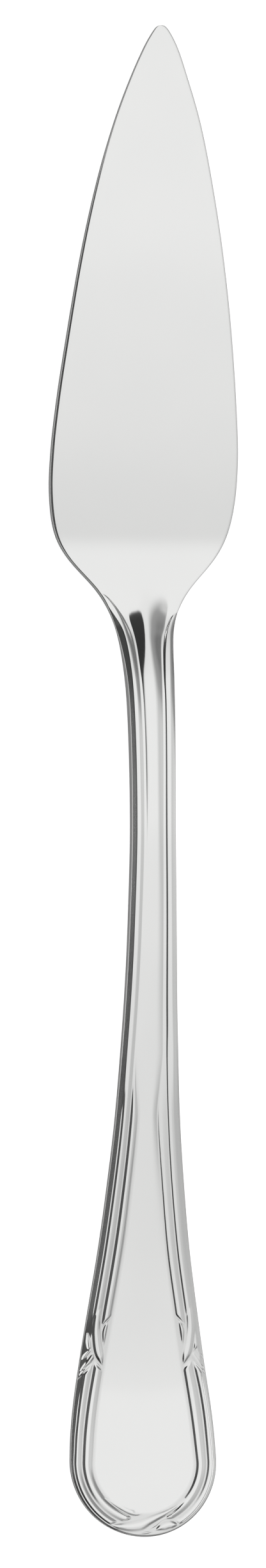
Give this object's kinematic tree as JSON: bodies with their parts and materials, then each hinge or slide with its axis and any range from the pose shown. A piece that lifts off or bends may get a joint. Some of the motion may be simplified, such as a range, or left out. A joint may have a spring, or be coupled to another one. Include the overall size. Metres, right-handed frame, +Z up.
{
  "type": "fish knife",
  "caption": "One-piece steel fish knife: flat leaf-shaped blade with an offset tip, ribbed neck, arched stem and wide round handle end bordered by reeds and crossed ribbons.",
  "frame": {"origin": "centre of the knife's bounding box, on the plane that it lies on", "axes": "+Y towards the blade's tip, +Z up out of the ornamented face, +X towards the blade's long back edge, to the right with the tip away from the viewer"},
  "size_m": [0.0266, 0.208, 0.01],
  "materials": {
    "polished_steel": "mirror-polished stainless steel with fine wiping marks"
  },
  "bodies": {
    "root": {"blade": "polished_steel", "neck": "polished_steel", "stem": "polished_steel", "handle_end": "polished_steel"}
  },
  "joints": []
}
